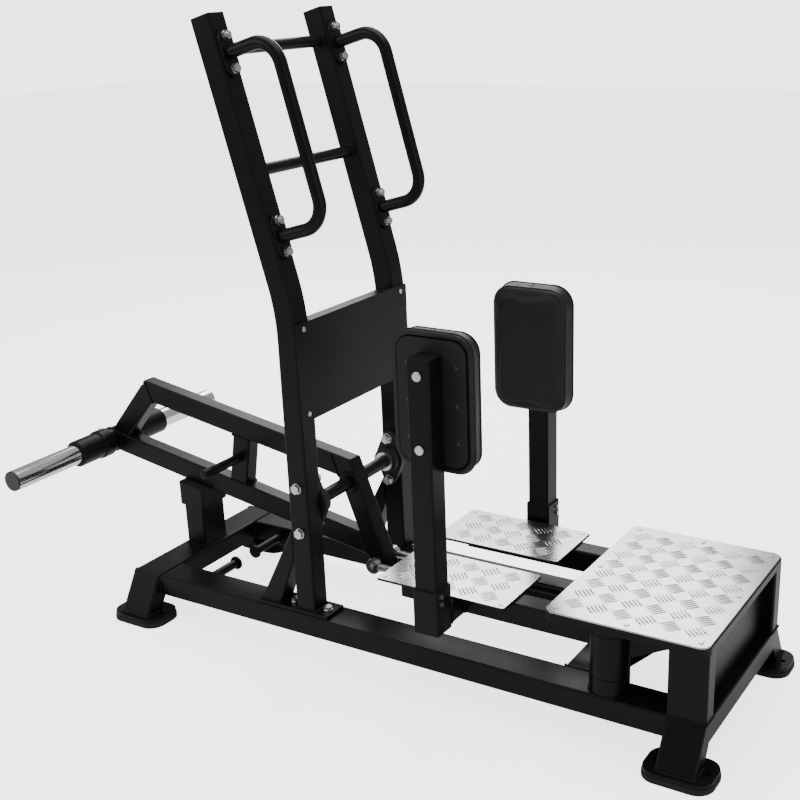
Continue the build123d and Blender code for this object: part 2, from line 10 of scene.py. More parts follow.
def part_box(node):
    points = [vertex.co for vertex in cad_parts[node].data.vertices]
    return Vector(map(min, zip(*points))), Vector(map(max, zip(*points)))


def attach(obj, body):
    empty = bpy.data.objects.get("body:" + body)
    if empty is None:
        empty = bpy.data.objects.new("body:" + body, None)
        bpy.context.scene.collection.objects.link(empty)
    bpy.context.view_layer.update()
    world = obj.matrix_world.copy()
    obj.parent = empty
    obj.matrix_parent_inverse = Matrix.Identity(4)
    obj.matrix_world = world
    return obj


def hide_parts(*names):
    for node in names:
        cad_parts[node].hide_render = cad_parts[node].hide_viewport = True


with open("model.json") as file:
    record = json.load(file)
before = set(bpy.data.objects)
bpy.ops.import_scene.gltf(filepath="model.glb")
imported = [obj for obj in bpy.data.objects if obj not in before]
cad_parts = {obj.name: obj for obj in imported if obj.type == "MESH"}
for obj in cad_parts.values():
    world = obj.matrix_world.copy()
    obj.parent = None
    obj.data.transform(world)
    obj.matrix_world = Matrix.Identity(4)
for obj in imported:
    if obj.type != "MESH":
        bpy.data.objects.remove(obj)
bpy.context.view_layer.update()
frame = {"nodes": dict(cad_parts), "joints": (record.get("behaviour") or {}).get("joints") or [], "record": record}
slotOfNode = {s["node"]: s["material_slot"] for s in frame["record"]["subparts"]}
print("loaded", len(frame["nodes"]), "nodes")


# small helpers for node trees
def addNode(tree, kind, settings=None, sockets=None):
    node = tree.nodes.new(kind)
    for name, value in (settings or {}).items():
        setattr(node, name, value)
    for name, value in (sockets or {}).items():
        if isinstance(value, Wire):
            tree.links.new(value.socket, node.inputs[name])
        elif value is not None:
            node.inputs[name].default_value = value
    return node


class Wire:
    # one output socket; maths on it is written as an expression
    def __init__(self, tree, socket):
        self.tree = tree
        self.socket = socket

    def maths(self, operation, first, second=None):
        sockets = {0: first}
        if second is not None:
            sockets[1] = second
        node = addNode(self.tree, "ShaderNodeMath", {"operation": operation}, sockets)
        return Wire(self.tree, node.outputs[0])

    def __add__(self, other):
        return self.maths("ADD", self, other)

    __radd__ = __add__

    def __mul__(self, other):
        return self.maths("MULTIPLY", self, other)

    __rmul__ = __mul__

    def __sub__(self, other):
        return self.maths("SUBTRACT", self, other)

    def __rsub__(self, other):
        return self.maths("SUBTRACT", other, self)

    def __truediv__(self, other):
        return self.maths("DIVIDE", self, other)

    def __mod__(self, other):
        return self.maths("MODULO", self, other)

    def floor(self):
        return self.maths("FLOOR", self)

    def clamp(self):
        return self.maths("MINIMUM", self.maths("MAXIMUM", self, 0.0), 1.0)


class Finish:
    # a material with one Principled shader, read on object coordinates
    def __init__(self, name, **fixed):
        self.material = bpy.data.materials.new(name)
        self.material.use_nodes = True
        self.tree = self.material.node_tree
        self.tree.nodes.clear()
        self.out = self.tree.nodes.new("ShaderNodeOutputMaterial")
        self.shader = self.tree.nodes.new("ShaderNodeBsdfPrincipled")
        self.tree.links.new(self.shader.outputs[0], self.out.inputs[0])
        for key, value in fixed.items():
            self.shader.inputs[key.replace("_", " ")].default_value = value
        self.place = self.node("ShaderNodeTexCoord", out="Object")

    def node(self, kind, settings=None, sockets=None, out=0):
        made = addNode(self.tree, kind, settings, sockets)
        return Wire(self.tree, made.outputs[out])

    def noise(self, scale, detail=2.0, stretch=(1, 1, 1), rough=0.5):
        place = self.node("ShaderNodeMapping", None, {"Vector": self.place, "Scale": stretch})
        return self.node("ShaderNodeTexNoise", None, {"Vector": place, "Scale": scale,
                                                       "Detail": detail, "Roughness": rough})

    def colour(self, factor, first, second):
        return self.node("ShaderNodeMix", {"data_type": "RGBA"},
                         {"Factor": factor, 6: (*first, 1), 7: (*second, 1)}, out=2)

    def facing(self, axis):
        normal = self.node("ShaderNodeNewGeometry", out="Normal")
        return self.node("ShaderNodeSeparateXYZ", None, {0: normal}, out=axis)

    def use(self, **links):
        for key, wire in links.items():
            self.tree.links.new(wire.socket, self.shader.inputs[key.replace("_", " ")])

    def bump(self, height, strength, distance=0.001):
        made = self.node("ShaderNodeBump", None,
                         {"Height": height, "Strength": strength, "Distance": distance})
        self.use(Normal=made)


# finishes
coatLook = {"dark": (0.003, 0.003, 0.0033), "light": (0.006, 0.006, 0.0064), "shine": 0.13,
            "roughness": 0.34, "peel": 1100.0, "dust": 0.12, "dustTone": (0.09, 0.09, 0.09)}


def powderCoat():
    look = coatLook
    coat = Finish("satinPowderCoat", Specular_IOR_Level=look["shine"])
    cloud = coat.noise(9.0, 4.0)
    fine = coat.noise(look["peel"], 2.0)
    dustSpots = coat.noise(55.0, 6.0, rough=0.7)
    upward = (coat.facing("Z") - 0.55).clamp() * 2.0
    dust = (upward * (dustSpots - 0.35)).clamp() * look["dust"]  # settles on what faces up
    paint = coat.colour(cloud, look["dark"], look["light"])
    coloured = coat.node("ShaderNodeMix", {"data_type": "RGBA"},
                         {"Factor": dust, 6: paint, 7: (*look["dustTone"], 1)}, out=2)
    coat.use(Base_Color=coloured, Roughness=cloud * 0.10 + dust * 0.5 + (look["roughness"] - 0.05))
    coat.bump(fine, 0.12, 0.0004)
    return coat.material


def brightMetal(name, dark, light, roughness, streak, bumpy=0.05, scale=160.0):
    metalFinish = Finish(name, Metallic=1.0)
    grain = metalFinish.noise(scale, 3.0, streak)
    stain = metalFinish.noise(14.0, 5.0, rough=0.65)
    metalFinish.use(Base_Color=metalFinish.colour(stain, dark, light),
                    Roughness=grain * 0.12 + stain * 0.10 + (roughness - 0.11))
    metalFinish.bump(grain, bumpy, 0.0003)
    return metalFinish.material


def mouldedRubber():
    rubber = Finish("mouldedRubber", Specular_IOR_Level=0.25)
    mottle = rubber.noise(40.0, 5.0)
    pores = rubber.noise(1500.0, 2.0)
    rubber.use(Base_Color=rubber.colour(mottle, (0.006, 0.006, 0.006), (0.014, 0.014, 0.014)),
               Roughness=mottle * 0.18 + 0.62)
    rubber.bump(pores, 0.25, 0.0005)
    return rubber.material


vinylLook = {"dark": (0.005, 0.005, 0.0055), "light": (0.010, 0.010, 0.0105), "roughness": 0.43,
             "grain": 620.0}


def grainedVinyl(name, roughness, strength=0.35):
    vinyl = Finish(name, Specular_IOR_Level=0.3)
    cells = vinyl.node("ShaderNodeTexVoronoi", {"feature": "DISTANCE_TO_EDGE"},
                       {"Vector": vinyl.place, "Scale": vinylLook["grain"]})
    cloud = vinyl.noise(24.0, 4.0)
    creases = vinyl.noise(300.0, 3.0)
    crown = (cells * 5.0).clamp()
    vinyl.use(Base_Color=vinyl.colour(cloud, vinylLook["dark"], vinylLook["light"]),
              Roughness=cloud * 0.12 + creases * 0.08 + (roughness - 0.10))
    vinyl.bump(crown + creases * 0.5, strength, 0.0004)
    return vinyl.material


def castPaint():
    cast = Finish("paintedCasting", Specular_IOR_Level=0.3)
    sand = cast.noise(420.0, 4.0, rough=0.7)
    cloud = cast.noise(20.0, 3.0)
    cast.use(Base_Color=cast.colour(cloud, (0.007, 0.007, 0.008), (0.016, 0.016, 0.017)),
             Roughness=sand * 0.2 + 0.38)
    cast.bump(sand, 0.45, 0.0008)
    return cast.material


def capPlastic():
    cap = Finish("capPlastic", Specular_IOR_Level=0.45)
    spark = cap.noise(1800.0, 2.0)
    scuff = cap.noise(60.0, 6.0, rough=0.7)
    cap.use(Base_Color=cap.colour(scuff, (0.012, 0.012, 0.012), (0.026, 0.026, 0.026)),
            Roughness=scuff * 0.2 + 0.33)
    cap.bump(spark, 0.18, 0.0004)
    return cap.material


# darkest and lightest tone, roughness and the stretch of the grain along X, Y and Z
metalLooks = {
    "zinc": ("zincPlate", (0.46, 0.46, 0.45), (0.66, 0.66, 0.65), 0.30, (1, 1, 1), 0.1, 300.0),
    "chrome": ("chromePlate", (0.74, 0.74, 0.75), (0.84, 0.84, 0.84), 0.13, (1, 14, 1)),
    "ground_steel": ("groundSteel", (0.42, 0.42, 0.43), (0.58, 0.58, 0.58), 0.27, (1, 30, 30)),
    "tread_plate": ("treadPlate", (0.46, 0.46, 0.46), (0.56, 0.56, 0.56), 0.24, (1, 6, 1), 0.1,
                    120.0),
}
looks = {
    "powder_coat": powderCoat(),
    **{slot: brightMetal(*values) for slot, values in metalLooks.items()},
    "black_rubber": mouldedRubber(),
    "pad_vinyl": grainedVinyl("padVinyl", vinylLook["roughness"]),
    "pad_back": grainedVinyl("padBackCover", 0.60, 0.2),
    "cast_housing": castPaint(),
    "end_cap": capPlastic(),
}
thread = Finish("blackThread", Specular_IOR_Level=0.3)
threadTwist = thread.noise(2500.0, 2.0)
thread.use(Base_Color=thread.colour(threadTwist, (0.02, 0.02, 0.02), (0.05, 0.05, 0.05)),
           Roughness=threadTwist * 0.2 + 0.6)
looks["thread"] = thread.material

for nodeName, obj in frame["nodes"].items():
    obj.data.materials.clear()
    obj.data.materials.append(looks[slotOfNode[nodeName]])
print("finishes made")


# geometry node trees
def newTree(name, inputs, takesGeometry):
    tree = bpy.data.node_groups.new(name, "GeometryNodeTree")
    sides = tree.interface
    sides.new_socket("Geometry", in_out="OUTPUT", socket_type="NodeSocketGeometry")
    if takesGeometry:
        sides.new_socket("Geometry", in_out="INPUT", socket_type="NodeSocketGeometry")
    for label, kind in inputs:
        sides.new_socket(label, in_out="INPUT", socket_type="NodeSocket" + kind)
    start = tree.nodes.new("NodeGroupInput")
    return tree, {s.name: Wire(tree, s) for s in start.outputs if s.name}


def closeTree(tree, geometry, material):
    solid = addNode(tree, "GeometryNodeRealizeInstances", None, {"Geometry": geometry})
    painted = addNode(tree, "GeometryNodeSetMaterial", None,
                      {"Geometry": Wire(tree, solid.outputs[0]), "Material": material})
    end = tree.nodes.new("NodeGroupOutput")
    tree.links.new(painted.outputs[0], end.inputs["Geometry"])
    return tree


def triple(tree, x, y, z):
    node = addNode(tree, "ShaderNodeCombineXYZ", None, {0: x, 1: y, 2: z})
    return Wire(tree, node.outputs[0])


def fiveBarTree():
    # rows of five short bars, each group turned a quarter from its neighbours
    tree, given = newTree("fiveBarPattern", [("Length", "Float"), ("Width", "Float"),
                          ("Pitch", "Float"), ("Bar length", "Float"), ("Bar width", "Float"),
                          ("Bar height", "Float"), ("Bar gap", "Float"), ("Material", "Material")],
                          False)
    along = (given["Length"] / given["Pitch"]).floor()
    across = (given["Width"] / given["Pitch"]).floor()
    grid = addNode(tree, "GeometryNodeMeshGrid", None,
                   {"Size X": (along - 1.0) * given["Pitch"],
                    "Size Y": (across - 1.0) * given["Pitch"],
                    "Vertices X": along, "Vertices Y": across})
    bar = addNode(tree, "GeometryNodeMeshUVSphere", None,
                  {"Segments": 10, "Rings": 4, "Radius": 1.0})
    shape = addNode(tree, "GeometryNodeTransform", None,
                    {"Geometry": Wire(tree, bar.outputs[0]),
                     "Scale": triple(tree, given["Bar length"] * 0.5, given["Bar width"] * 0.5,
                                     given["Bar height"])})
    row = addNode(tree, "GeometryNodeMeshLine", None,
                  {"Count": 5, "Start Location": triple(tree, 0.0, given["Bar gap"] * -2.0, 0.0),
                   "Offset": triple(tree, 0.0, given["Bar gap"], 0.0)})
    group = addNode(tree, "GeometryNodeInstanceOnPoints", None,
                    {"Points": Wire(tree, row.outputs[0]), "Instance": Wire(tree, shape.outputs[0])})
    index = Wire(tree, tree.nodes.new("GeometryNodeInputIndex").outputs[0])
    column = ((index + 0.5) / across).floor()
    step = (index - column * across) + column
    turn = (step % 2.0) * (math.pi / 2) + math.pi / 4
    field = addNode(tree, "GeometryNodeInstanceOnPoints", None,
                    {"Points": Wire(tree, grid.outputs[0]), "Instance": Wire(tree, group.outputs[0]),
                     "Rotation": triple(tree, 0.0, 0.0, turn)})
    return closeTree(tree, Wire(tree, field.outputs[0]), given["Material"])


def beadTree():
    # small rounded beads set end to end along a path: weld ripples or stitches
    tree, given = newTree("beadsAlongPath", [("Spacing", "Float"), ("Bead width", "Float"),
                          ("Bead length", "Float"), ("Material", "Material")], True)
    points = addNode(tree, "GeometryNodeCurveToPoints", {"mode": "LENGTH"},
                     {"Curve": given["Geometry"], "Length": given["Spacing"]})
    bead = addNode(tree, "GeometryNodeMeshUVSphere", None,
                   {"Segments": 8, "Rings": 5, "Radius": 0.5})
    size = triple(tree, given["Bead width"], given["Bead width"], given["Bead length"])
    row = addNode(tree, "GeometryNodeInstanceOnPoints", None,
                  {"Points": Wire(tree, points.outputs["Points"]),
                   "Instance": Wire(tree, bead.outputs[0]),
                   "Rotation": Wire(tree, points.outputs["Rotation"]), "Scale": size})
    return closeTree(tree, Wire(tree, row.outputs[0]), given["Material"])


def headTree():
    # small domed screw heads on the points of a mesh, facing across the machine
    tree, given = newTree("screwHeads", [("Head width", "Float"), ("Head height", "Float"),
                          ("Material", "Material")], True)
    dome = addNode(tree, "GeometryNodeMeshUVSphere", None,
                   {"Segments": 20, "Rings": 10, "Radius": 0.5})
    size = triple(tree, given["Head width"], given["Head height"] * 2.0, given["Head width"])
    row = addNode(tree, "GeometryNodeInstanceOnPoints", None,
                  {"Points": given["Geometry"], "Instance": Wire(tree, dome.outputs[0]),
                   "Scale": size})
    return closeTree(tree, Wire(tree, row.outputs[0]), given["Material"])


fiveBars, beads, heads = fiveBarTree(), beadTree(), headTree()


def linked(name, data):
    obj = bpy.data.objects.new(name, data)
    bpy.context.scene.collection.objects.link(obj)
    return obj


def evaluated(obj):
    graph = bpy.context.evaluated_depsgraph_get()
    return bpy.data.meshes.new_from_object(obj.evaluated_get(graph), depsgraph=graph)


def runTree(name, source, tree, values, place=None):
    # runs a tree on an object and keeps only the plain mesh it makes
    modifier = source.modifiers.new(name, "NODES")
    modifier.node_group = tree
    for item in tree.interface.items_tree:
        if item.in_out == "INPUT" and item.name in values:
            modifier[item.identifier] = values[item.name]
    source.update_tag()
    bpy.context.view_layer.update()
    mesh = evaluated(source)
    source.modifiers.remove(modifier)
    oldData = source.data
    bpy.data.objects.remove(source)
    if isinstance(oldData, bpy.types.Curve):
        bpy.data.curves.remove(oldData)
    if place:
        mesh.transform(place)
    for face in mesh.polygons:
        face.use_smooth = True
    made = linked(name, mesh)
    print(name, len(mesh.polygons), "faces")
    return made


def pathObject(name, paths):
    curve = bpy.data.curves.new(name, "CURVE")
    curve.dimensions = "3D"
    for points, closed in paths:
        spline = curve.splines.new("POLY")
        spline.points.add(len(points) - 1)
        for slot, point in zip(spline.points, points):
            slot.co = (*point, 1)
        spline.use_cyclic_u = closed
    return linked(name, curve)


def pointObject(name, points):
    mesh = bpy.data.meshes.new(name)
    mesh.from_pydata([tuple(p) for p in points], [], [])
    return linked(name, mesh)


# five-bar tread plates
treadSpec = {"margin": 0.008, "pitch": 0.0500, "barLength": 0.0370, "barWidth": 0.0046,
             "barHeight": 0.0015, "barGap": 0.0078}


def treadPattern(node, body, name):
    low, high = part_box(node)
    spec = treadSpec
    source = pointObject(name + "Source", [])
    place = Matrix.Translation(((low.x + high.x) / 2, (low.y + high.y) / 2, high.z - 0.0001))
    pattern = runTree(name, source, fiveBars, {
        "Length": high.x - low.x - 2 * spec["margin"], "Width": high.y - low.y - 2 * spec["margin"],
        "Pitch": spec["pitch"], "Bar length": spec["barLength"], "Bar width": spec["barWidth"],
        "Bar height": spec["barHeight"], "Bar gap": spec["barGap"],
        "Material": looks["tread_plate"]}, place)
    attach(pattern, body)


treadPattern("platform_tread", "base_frame", "platform_tread_bars")
for hand in ("left", "right"):
    treadPattern("foot_tread_" + hand, hand + "_arm", "foot_tread_bars_" + hand)


# weld beads
weldSpec = {"spacing": 0.0032, "width": 0.0062, "length": 0.0058, "proud": 0.0005}


def flatLoop(x0, x1, y0, y1, z):
    return [(x0, y0, z), (x1, y0, z), (x1, y1, z), (x0, y1, z)], True


def roundLoop(centre, radius, normal, steps=28, start=0.0, sweep=360.0):
    turn = Vector((0, 0, 1)).rotation_difference(Vector(normal))
    points = []
    count = steps if sweep == 360.0 else steps + 1
    for i in range(count):
        angle = math.radians(start + sweep * i / steps)
        spoke = Vector((math.cos(angle), math.sin(angle), 0))
        points.append(Vector(centre) + turn @ spoke * radius)
    return points, sweep == 360.0


def weld(name, body, paths):
    made = runTree(name, pathObject(name + "Path", paths), beads, {
        "Spacing": weldSpec["spacing"], "Bead width": weldSpec["width"],
        "Bead length": weldSpec["length"], "Material": looks["powder_coat"]})
    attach(made, body)


baseSpec = {"tube": 0.05, "braceFoot": 0.054, "legTop": 0.08, "legWide": 0.04, "post": 0.04,
            "railY": (0.14, 0.144, 0.216, 0.22), "railZ": (0.063, 0.107, 0.11), "rung": 0.0125}


def baseWelds():
    spec = baseSpec
    inner, innerTop, outerTop, outer = spec["railY"]
    bottom, shoulder, top = spec["railZ"]
    paths = []
    for side in (-1, 1):
        hand = "left" if side < 0 else "right"
        low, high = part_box("upright_" + hand)
        paths.append(flatLoop(high.x - spec["tube"], high.x, low.y, high.y, low.z))
        low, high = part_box("brace_" + hand)
        paths.append(flatLoop(low.x, low.x + spec["braceFoot"], low.y, high.y, low.z))
        for beam in ("rear_cross_beam", "front_cross_beam"):
            low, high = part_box(beam)
            edge = max(abs(low.y), abs(high.y))
            paths.append(flatLoop(low.x, high.x, side * (edge - spec["tube"]), side * edge,
                                  low.z + 0.001))
            x = high.x if beam.startswith("rear") else low.x  # over the rail's end, side to side
            paths.append(([(x, side * y, z) for y, z in (
                (outer, bottom), (outer, shoulder + 0.001), (outerTop, top), (innerTop, top),
                (inner, shoulder), (inner, bottom))], False))
        low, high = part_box("portal_frame")
        paths.append(flatLoop(high.x - spec["legTop"], high.x, side * high.y,
                              side * (high.y - spec["legWide"]), low.z))
        low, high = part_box("pivot_posts")
        middle = ((low.x + high.x) / 2, side * (high.y - spec["post"]), low.z)
        paths.append(roundLoop(middle, spec["post"], (0, 0, 1), 60))
        low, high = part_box("cross_rungs")
        rung = spec["rung"]
        for x, z in ((low.x + rung, high.z - rung), (high.x - rung, low.z + rung)):
            paths.append(roundLoop((x, side * (high.y - weldSpec["proud"]), z), rung + 0.0007,
                                   (0, 1, 0)))
    low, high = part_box("stop_post")
    paths.append(flatLoop(low.x, high.x, low.y, high.y, low.z))
    low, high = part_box("middle_cross_member")
    for x in (low.x, high.x):
        paths.append(([(x, low.y + 0.01, low.z), (x, low.y + 0.001, high.z)], False))
    weld("base_welds", "base_frame", paths)


# t runs along the lever's tubes and n across them, both from its pivot
leverSpec = {"tilt": 9.65, "half": 0.0202, "topN": (0.0547, 0.0047), "lowN": (-0.1145, -0.1645),
             "brace": (-0.341, -0.291), "legRear": (-0.0287, 0.0408, 0.070), "mitre": 0.029,
             "hornTop": (-0.597, -0.628), "hornLow": (-0.664, -0.734), "spare": 0.08,
             "shaftRing": 0.0235, "hornRing": 0.0303}


def jointPlace(name):
    return Vector(next(j["pos_m"] for j in frame["joints"] if j["name"] == name))


pivot = jointPlace("lever_pivot")


def leverPoint(t, n, y):
    tilt = math.radians(leverSpec["tilt"])
    return (pivot.x + t * math.cos(tilt) + n * math.sin(tilt), y,
            pivot.z - t * math.sin(tilt) + n * math.cos(tilt))


def leverWelds():
    half, spare, proud = leverSpec["half"], leverSpec["spare"], weldSpec["proud"]
    paths = []
    for n in (leverSpec["topN"][1], leverSpec["lowN"][0]):
        t0, t1 = leverSpec["brace"]
        paths.append(([leverPoint(t0, n, -half), leverPoint(t1, n, -half), leverPoint(t1, n, half),
                       leverPoint(t0, n, half)], True))
    topT, lowT, underT = leverSpec["legRear"]
    topN, lowN = leverSpec["topN"], leverSpec["lowN"]
    hornTop, hornLow = leverSpec["hornTop"], leverSpec["hornLow"]
    for (t0, n0), (t1, n1) in (((topT, topN[1]), (topT - leverSpec["mitre"], topN[0])),
                               ((lowT, lowN[0]), (underT, lowN[1])),
                               ((hornTop[0], topN[1]), (hornTop[1], topN[0])),
                               ((hornLow[0], lowN[0]), (hornLow[1], lowN[0]))):
        t1, n1 = t1 + (t0 - t1) * spare, n1 + (n0 - n1) * spare  # keeps beads off the outer corner
        paths.append(([leverPoint(t1, n1, -half), leverPoint(t0, n0, -half),
                       leverPoint(t0, n0, half), leverPoint(t1, n1, half)], False))
    low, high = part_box("horns")
    for side in (-1, 1):
        paths.append(roundLoop(leverPoint(0, 0, side * (half + proud)), leverSpec["shaftRing"],
                               (0, 1, 0), 40))
        middle = ((low.x + high.x) / 2, side * (half + 2 * proud), (low.z + high.z) / 2)
        paths.append(roundLoop(middle, leverSpec["hornRing"], (0, 1, 0), 40))
    weld("lever_welds", "weight_lever", paths)


armSpec = {"top": 0.237, "under": 0.187, "edge": 0.003, "outer": 0.168, "socket": 0.2202,
           "socketHalf": 0.029, "hub": 0.04, "hubToFace": 0.012, "arc": (8, 74)}


def armWelds(hand, side):
    spec = armSpec
    arm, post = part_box("arm_frame_" + hand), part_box("pad_post_" + hand)
    joint = jointPlace(hand + "_arm_swing")
    high, low = spec["top"] - spec["edge"], spec["under"] + spec["edge"]
    outer = side * spec["outer"]
    middleX = (post[0].x + post[1].x) / 2
    x0, x1 = middleX - spec["socketHalf"], middleX + spec["socketHalf"]
    paths = []
    for y in (outer, side * spec["socket"]):
        paths.append(([(x0, y, low), (x1, y, low), (x1, y, high), (x0, y, high)], True))
    reach = math.sqrt(spec["hub"] ** 2 - spec["hubToFace"] ** 2)
    paths.append(([(joint.x - reach, outer, low), (joint.x - reach, outer, high)], False))
    begin = (180 if side > 0 else 90) + spec["arc"][0]
    paths.append(roundLoop((joint.x, joint.y, spec["top"]), spec["hub"] + 0.0002, (0, 0, 1), 30,
                           begin, spec["arc"][1]))
    paths.append(flatLoop(post[0].x, post[1].x, post[0].y, post[1].y, arm[1].z))
    weld("arm_welds_" + hand, hand + "_arm", paths)


baseWelds()
leverWelds()
armWelds("left", -1)
armWelds("right", 1)
print("weld beads laid")


# thigh pads
# shares run from the pad's back to its face; cap is the most that air may move the cover
padSpec = {"corner": 0.042, "shrink": 0.0005, "voxel": 0.0045, "pressure": 4.0, "frames": 20,
           "cap": 0.0045, "held": 0.011, "free": 0.014, "smooth": 30, "fill": 0.85,
           "welt": 0.0020, "welts": (("front", 0.80, 0.001), ("back", 0.16, 0.0)), "seam": 0.0011,
           "stitch": 0.0055, "thread": (0.0009, 0.0038), "stitchInset": 0.014,
           "screwInset": 0.022, "screws": (0.2, 0.5, 0.8), "screwHead": (0.009, 0.0016),
           "profile": ((0.16, 0.0118), (0.03, 0.0112), (0.0, 0.0085), (0.0, 0.0035), (0.03, 0.0008),
                       (0.10, 0.0), (0.78, 0.0), (0.90, 0.0008), (0.96, 0.003), (1.0, 0.008))}


def roundedOutline(halfX, halfZ, radius, steps=12):
    points = []
    for cx, cz, start in ((halfX - radius, halfZ - radius, 0), (radius - halfX, halfZ - radius, 90),
                          (radius - halfX, radius - halfZ, 180),
                          (halfX - radius, radius - halfZ, 270)):
        for i in range(steps + 1):
            angle = math.radians(start + 90 * i / steps)
            points.append((cx + radius * math.cos(angle), cz + radius * math.sin(angle)))
    return points


def padShell(low, high, side):
    # side is the way the soft face looks along Y
    spec = padSpec
    middle = (low + high) / 2
    back = low.y if side > 0 else high.y
    depth = high.y - low.y - spec["shrink"]
    mesh = bmesh.new()
    rings = []
    for share, inset in spec["profile"]:
        outline = roundedOutline((high.x - low.x) / 2 - inset - spec["shrink"],
                                 (high.z - low.z) / 2 - inset - spec["shrink"],
                                 spec["corner"] - inset)
        y = back + side * depth * share
        rings.append([mesh.verts.new((middle.x + x, y, middle.z + z)) for x, z in outline])
    for lower, upper in zip(rings, rings[1:]):
        for i in range(len(lower)):
            j = (i + 1) % len(lower)
            mesh.faces.new((lower[i], lower[j], upper[j], upper[i]))
    mesh.faces.new(list(reversed(rings[0])))
    mesh.faces.new(rings[-1])
    bmesh.ops.recalc_face_normals(mesh, faces=mesh.faces)
    data = bpy.data.meshes.new("padShell")
    mesh.to_mesh(data)
    mesh.free()
    return linked("padShell", data), back


def relax(mesh, rest, back):
    # evens out the creases that the air leaves, away from the held back
    work = bmesh.new()
    work.from_mesh(mesh)
    work.verts.ensure_lookup_table()
    free = [v for v in work.verts if abs(rest[v.index].y - back) > padSpec["free"]]
    for _ in range(padSpec["smooth"]):
        bmesh.ops.smooth_vert(work, verts=free, factor=0.5, use_axis_x=True, use_axis_y=True,
                              use_axis_z=True)
    work.to_mesh(mesh)
    work.free()


def inflate(shell, back, side):
    spec = padSpec
    remesh = shell.modifiers.new("voxels", "REMESH")
    remesh.mode = "VOXEL"
    remesh.voxel_size = spec["voxel"]
    start = evaluated(shell)
    shell.modifiers.remove(remesh)
    soft = linked("softPad", start)
    rest = [v.co.copy() for v in start.vertices]
    pinned = soft.vertex_groups.new(name="held")
    held = [v.index for v in start.vertices if abs(v.co.y - back) < spec["held"]]
    pinned.add(held, 1.0, "REPLACE")
    cloth = soft.modifiers.new("air", "CLOTH")
    cloth.settings.use_pressure = True
    cloth.settings.uniform_pressure_force = spec["pressure"]
    cloth.settings.effector_weights.gravity = 0.0
    cloth.settings.vertex_group_mass = "held"
    cloth.collision_settings.use_collision = False
    cloth.point_cache.frame_start = 1
    cloth.point_cache.frame_end = spec["frames"]
    for number in range(1, spec["frames"] + 1):
        bpy.context.scene.frame_set(number)
    shaped = evaluated(soft)
    soft.modifiers.remove(cloth)
    bpy.context.scene.frame_set(1)
    relax(shaped, rest, back)
    for vertex, origin in zip(shaped.vertices, rest):
        move = vertex.co - origin
        if move.length > spec["cap"]:
            vertex.co = origin + move * (spec["cap"] / move.length)
        if side * (vertex.co.y - back) < 0:
            vertex.co.y = back
    soft.data = shaped
    bpy.data.objects.remove(shell)
    smooth = soft.modifiers.new("smooth", "SUBSURF")
    smooth.levels = smooth.render_levels = 1
    finished = evaluated(soft)
    bpy.data.objects.remove(soft)
    for face in finished.polygons:
        face.use_smooth = True
    return finished


def onSurface(tree, points, lift):
    found = []
    for point in points:
        spot, normal, _, _ = tree.find_nearest(point)
        found.append(spot + normal * lift)
    return found


def tube(name, points, radius, material, closed):
    curveObject = pathObject(name + "Path", [(points, closed)])
    curveObject.data.bevel_depth = radius
    curveObject.data.bevel_resolution = 2
    curveObject.data.use_fill_caps = True
    bpy.context.view_layer.update()
    mesh = evaluated(curveObject)
    data = curveObject.data
    bpy.data.objects.remove(curveObject)
    bpy.data.curves.remove(data)
    mesh.materials.clear()
    mesh.materials.append(material)
    for face in mesh.polygons:
        face.use_smooth = True
    return linked(name, mesh)


def makePad(hand, side):
    spec = padSpec
    low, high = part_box("pad_" + hand)
    shell, back = padShell(low, high, side)
    mesh = inflate(shell, back, side)
    mesh.name = "thigh_pad_" + hand
    mesh.materials.clear()
    mesh.materials.append(looks["pad_vinyl"])
    pad = linked("thigh_pad_" + hand, mesh)
    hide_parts("pad_" + hand)
    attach(pad, hand + "_arm")
    surface = BVHTree.FromObject(pad, bpy.context.evaluated_depsgraph_get())
    middle = (low + high) / 2
    depth = high.y - low.y
    bits = []
    for label, share, inset in spec["welts"]:
        outline = roundedOutline((high.x - low.x) / 2 - inset, (high.z - low.z) / 2 - inset,
                                 spec["corner"], 16)
        path = [Vector((middle.x + x, back + side * depth * share, middle.z + z))
                for x, z in outline]
        bits.append(tube("pad_welt_" + label + "_" + hand, onSurface(surface, path, 0.0004),
                         spec["welt"], looks["pad_vinyl"], True))
    face, rear = (share for _, share, _ in spec["welts"])  # the seam joins the two welts
    rise = [Vector((middle.x, back + side * depth * (rear + (face - rear) * i / 8), high.z))
            for i in range(9)]
    bits.append(tube("pad_seam_" + hand, onSurface(surface, rise, 0.0), spec["seam"],
                     looks["pad_vinyl"], False))
    inset = spec["stitchInset"]
    outline = roundedOutline((high.x - low.x) / 2 - inset, (high.z - low.z) / 2 - inset,
                             spec["corner"] - 0.008, 16)
    front = [Vector((middle.x + x, back + side * depth, middle.z + z)) for x, z in outline]
    stitchPath = pathObject("stitchPath", [(onSurface(surface, front, 0.0), True)])
    stitches = runTree("pad_stitches_" + hand, stitchPath, beads, {
        "Spacing": spec["stitch"], "Bead width": spec["thread"][0], "Bead length": spec["thread"][1],
        "Material": looks["thread"]})
    bits.append(stitches)
    for bit in bits:
        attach(bit, hand + "_arm")
    # small screws hold the folded cover to the board's outer face
    low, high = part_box("pad_board_" + hand)
    outerFace = low.y if side > 0 else high.y
    spots = []
    for x in (low.x + spec["screwInset"], high.x - spec["screwInset"]):
        for share in spec["screws"]:
            spots.append((x, outerFace, low.z + (high.z - low.z) * share))
    screws = runTree("board_screws_" + hand, pointObject("screwSpots", spots), heads,
                     {"Head width": spec["screwHead"][0], "Head height": spec["screwHead"][1],
                      "Material": looks["end_cap"]})
    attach(screws, hand + "_arm")
    print("pad", hand, len(mesh.polygons), "faces")


makePad("left", 1)
makePad("right", -1)


